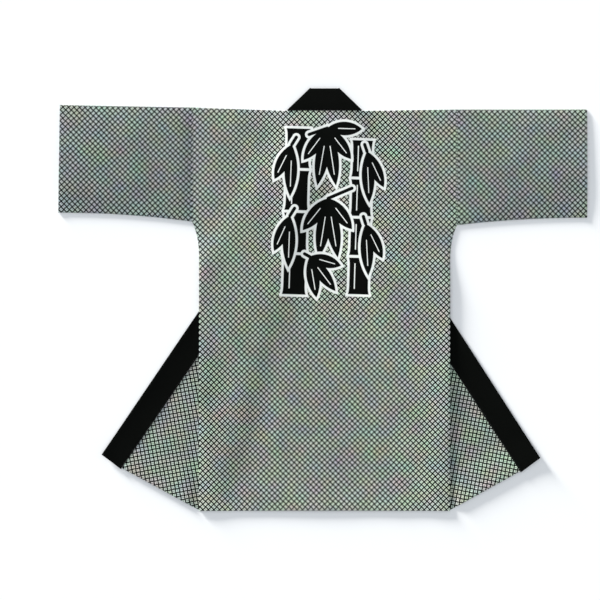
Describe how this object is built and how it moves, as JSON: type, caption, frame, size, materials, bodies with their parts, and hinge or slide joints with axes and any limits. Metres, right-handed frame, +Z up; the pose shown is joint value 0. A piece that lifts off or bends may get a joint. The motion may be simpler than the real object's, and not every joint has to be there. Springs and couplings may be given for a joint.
{
  "type": "happi coat",
  "caption": "Happi coat laid flat, back upwards: straight body, short wide sleeves, and a band collar from hem to hem on fronts that are folded outwards beneath the back.",
  "frame": {"origin": "on the surface the coat lies on, under the middle of its outline", "axes": "+X along the sleeves, +Y from the hem to the neck, +Z up off the surface"},
  "size_m": [1.1628, 0.9298, 0.0084],
  "materials": {
    "check_cotton": "plain-weave cotton with a small black and white basket check at 45 degrees",
    "black_cotton": "plain black cotton, folded double and stiffened"
  },
  "bodies": {
    "root": {"back": "check_cotton", "front_right": "check_cotton", "front_left": "check_cotton", "sleeve_right": "check_cotton", "sleeve_left": "check_cotton", "collar": "black_cotton"}
  },
  "joints": []
}
